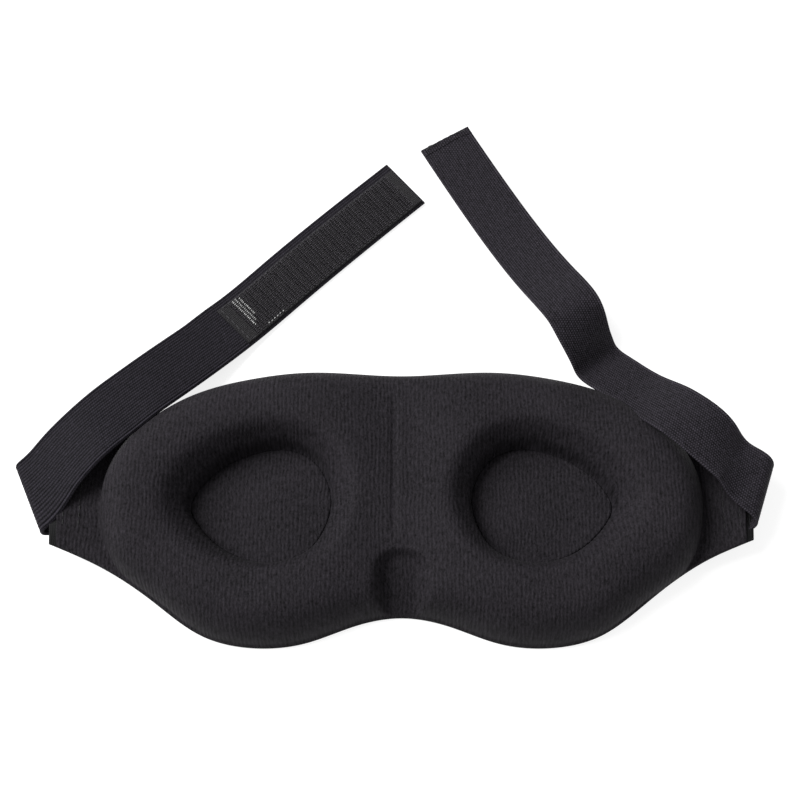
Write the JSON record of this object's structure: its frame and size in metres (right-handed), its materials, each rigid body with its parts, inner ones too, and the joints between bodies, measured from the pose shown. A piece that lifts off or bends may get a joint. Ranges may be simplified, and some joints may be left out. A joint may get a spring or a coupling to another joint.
{
  "type": "sleep eye mask",
  "caption": "Contoured padded sleep eye mask with two hollow eye cavities, a nose recess and elastic straps that close with hook and loop tape.",
  "frame": {"origin": "on the underside at the middle of the bridge, level with the centres of the eye cavities", "axes": "+X to the wearer's right wing, +Y to the forehead edge, +Z away from the surface it lies on, towards the face"},
  "size_m": [0.2594, 0.2006, 0.0229],
  "materials": {
    "cover_knit": "matt fine knit",
    "cavity_knit": "matt fine knit with vertical wales",
    "ribbed_jersey": "matt jersey with fine vertical wales",
    "foam": "open-cell foam",
    "elastic": "woven elastic with lengthwise ribs",
    "hook_tape": "rows of small nylon hooks",
    "loop_tape": "brushed pile",
    "thread": "spun sewing thread"
  },
  "bodies": {
    "left_half": {"left_outer_cover": "cover_knit", "left_shell_foam": "foam", "left_shell_lining": "cavity_knit", "left_face_cushion": "foam", "left_face_lining": "ribbed_jersey", "left_strap_anchor": "elastic", "left_wing_seam": "thread"},
    "right_half": {"right_outer_cover": "cover_knit", "right_shell_foam": "foam", "right_shell_lining": "cavity_knit", "right_face_cushion": "foam", "right_face_lining": "ribbed_jersey", "right_strap_anchor": "elastic", "right_wing_seam": "thread"},
    "left_strap": {"left_strap": "elastic", "hook_tape": "hook_tape", "hook_tape_stitching": "thread"},
    "right_strap": {"right_strap": "elastic", "loop_tape": "loop_tape", "loop_tape_stitching": "thread", "strap_hem_stitching": "thread"}
  },
  "joints": [
    {"name": "bridge_fold", "type": "hinge", "parent": "left_half", "child": "right_half", "pos_m": [0, 0, 0], "axis": [0, 1, 0], "range_deg": [-20, 170], "stiffness_Nm_per_rad": 0.08},
    {"name": "left_strap_swing", "type": "hinge", "parent": "left_half", "child": "left_strap", "pos_m": [-0.1255, 0.0003, 0.0124], "axis": [0.3616, -0.9323, 0], "range_deg": [0, 180]},
    {"name": "right_strap_swing", "type": "hinge", "parent": "right_half", "child": "right_strap", "pos_m": [0.1255, 0.0003, 0.0124], "axis": [0.3616, 0.9323, 0], "range_deg": [0, 180]}
  ]
}
